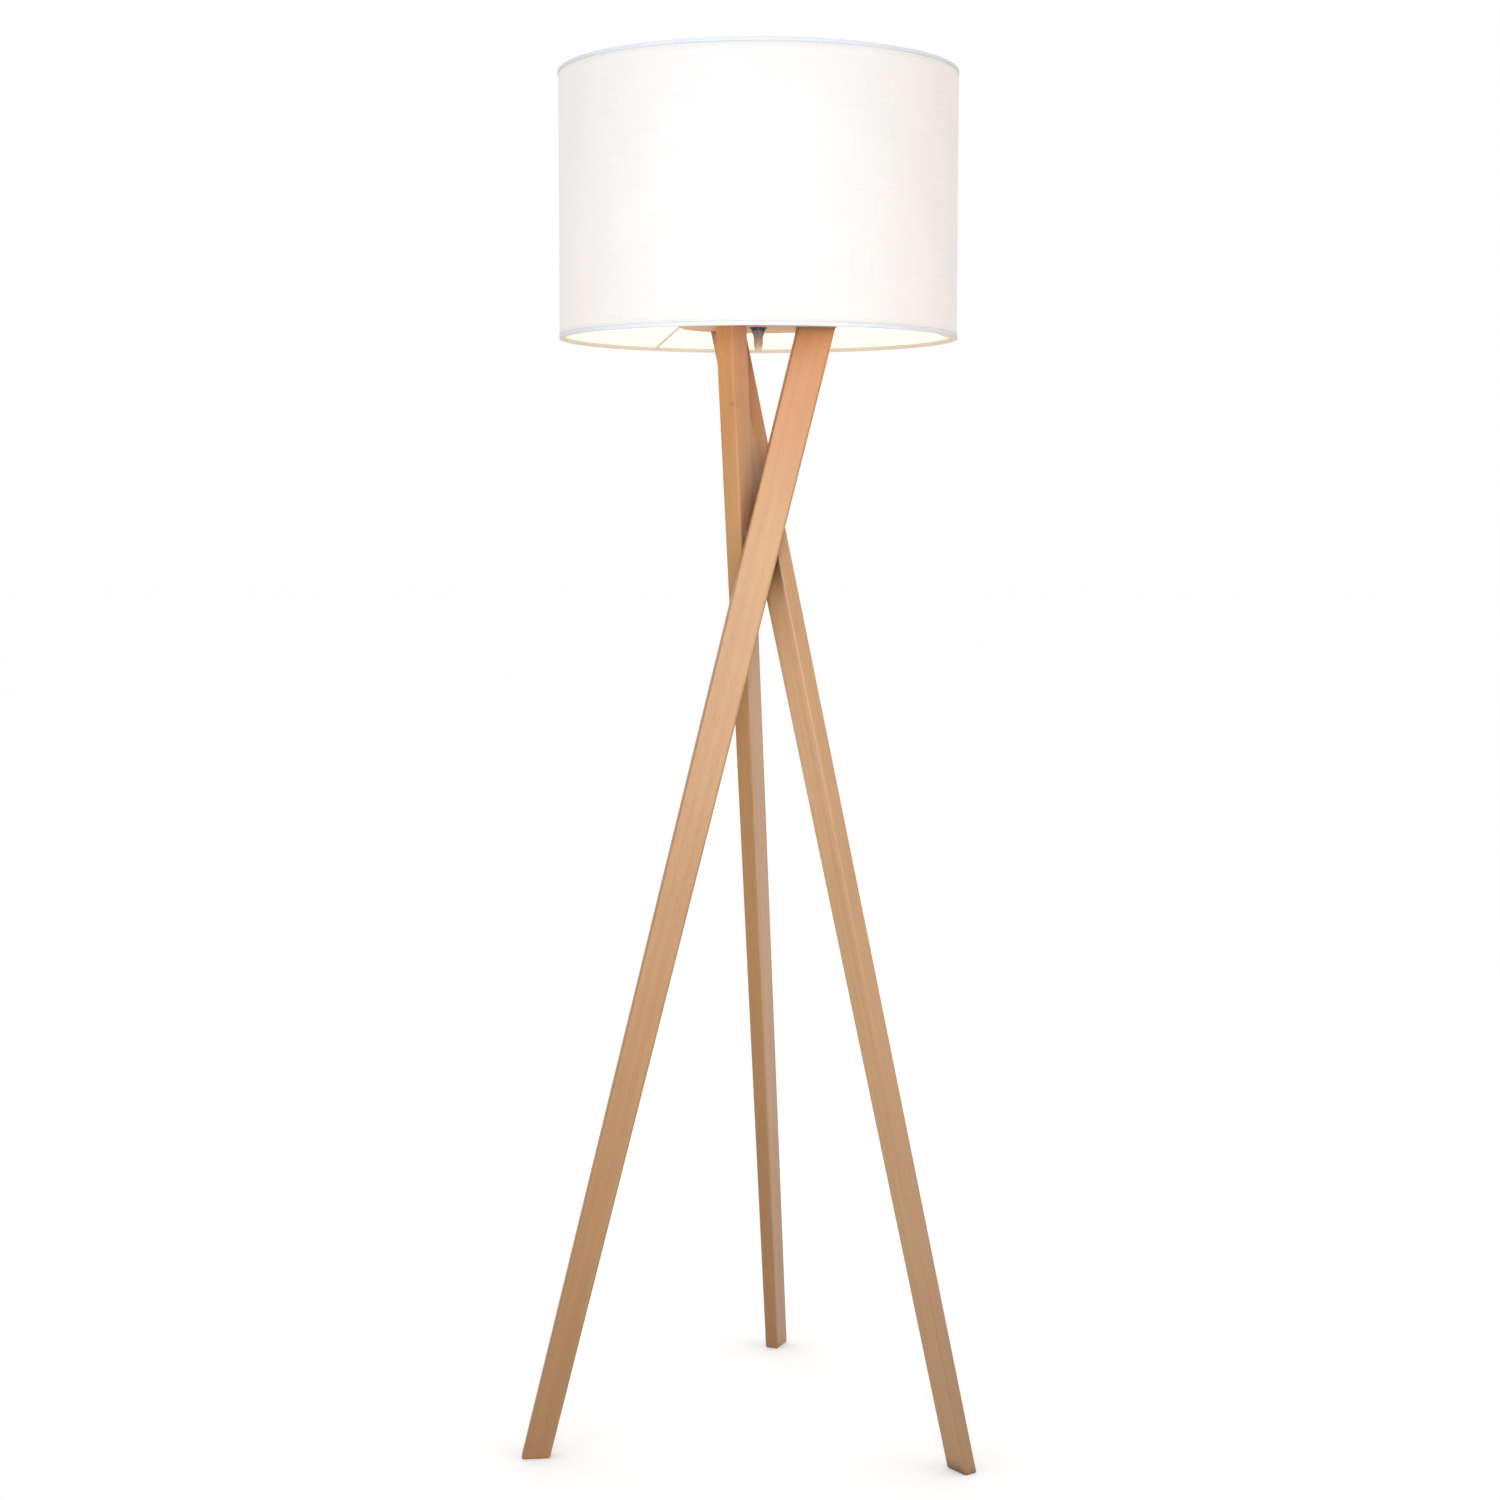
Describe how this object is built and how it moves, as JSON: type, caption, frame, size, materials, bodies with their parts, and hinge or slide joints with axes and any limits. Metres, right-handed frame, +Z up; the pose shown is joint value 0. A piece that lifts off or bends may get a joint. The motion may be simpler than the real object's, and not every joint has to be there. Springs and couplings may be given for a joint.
{
  "type": "tripod floor lamp",
  "caption": "Floor lamp with three tapered wooden legs that cross at a waist, a round plate on their tops, and a white linen drum shade.",
  "frame": {"origin": "on the lamp's vertical axis at floor level", "axes": "+Z up, -Y to the front, where two feet are seen with the third behind them; the foot of leg_1 is at the front left"},
  "size_m": [0.5105, 0.5187, 1.555],
  "materials": {
    "leg_wood": "satin, fine lengthwise grain",
    "plate_wood": "satin",
    "steel": "zinc plated",
    "dark_metal": "satin black",
    "grip_metal": "satin grey",
    "holder_plastic": "white",
    "ceramic": "glazed ceramic",
    "brass": "plain",
    "lead_brown": "insulated wire",
    "lead_blue": "insulated wire",
    "shade_wire": "white powder coat",
    "shade_liner": "translucent lining",
    "shade_fabric": "white linen weave",
    "shade_trim": "woven tape",
    "bulb_nickel": "nickel plated",
    "bulb_black": "black glass",
    "bulb_white": "white moulding",
    "bulb_aluminium": "pressed",
    "circuit_board": "resin board",
    "led_chip": "phosphor",
    "bulb_opal": "opal"
  },
  "bodies": {
    "stand": {"leg_1": "leg_wood", "leg_2": "leg_wood", "leg_3": "leg_wood", "top_plate": "plate_wood", "waist_dowel_screws": "steel", "leg_screws": "steel", "stem_tube": "steel", "upper_washer": "steel", "upper_nut": "steel", "lower_washer": "dark_metal", "lower_nut": "dark_metal", "cord_grip": "grip_metal", "cord_grip_screw": "grip_metal", "holder_cap": "holder_plastic", "holder_shell": "holder_plastic", "holder_insert": "ceramic", "holder_sleeve": "brass", "holder_centre_contact": "brass", "terminal_screws": "brass", "lead_live": "lead_brown", "lead_neutral": "lead_blue"},
    "shade": {"shade_hub": "shade_wire", "shade_arms": "shade_wire", "shade_ring_bottom": "shade_wire", "shade_ring_top": "shade_wire", "shade_liner": "shade_liner", "shade_fabric": "shade_fabric", "shade_trim_bottom": "shade_trim", "shade_trim_top": "shade_trim"},
    "clamp_ring": {"clamp_ring": "holder_plastic"},
    "bulb_tip": {"bulb_tip": "bulb_nickel"},
    "bulb": {"bulb_insulator": "bulb_black", "bulb_cap": "bulb_nickel", "bulb_housing": "bulb_white", "bulb_heat_sink": "bulb_aluminium", "bulb_driver_board": "circuit_board", "bulb_led_board": "bulb_aluminium", "bulb_leds": "led_chip", "bulb_dome": "bulb_opal"}
  },
  "joints": [
    {"name": "shade_lift", "type": "slide", "parent": "stand", "child": "shade", "axis": [0, 0, 1], "range_m": [0, 0.3]},
    {"name": "clamp_ring_turn", "type": "hinge", "parent": "shade", "child": "clamp_ring", "pos_m": [0, 0, 1.3455], "axis": [0, 0, 1], "range_deg": [0, 2770]},
    {"name": "bulb_rise", "type": "slide", "parent": "stand", "child": "bulb_tip", "axis": [0, 0, 1], "range_m": [0, 0.01816]},
    {"name": "bulb_turn", "type": "hinge", "parent": "bulb_tip", "child": "bulb", "pos_m": [0, 0, 1.33], "axis": [0, 0, 1], "range_deg": [0, 1800]}
  ],
  "couplings": [
    {"joint": "bulb_rise", "follows": "bulb_turn", "m_per_rad": 0.00057773}
  ]
}
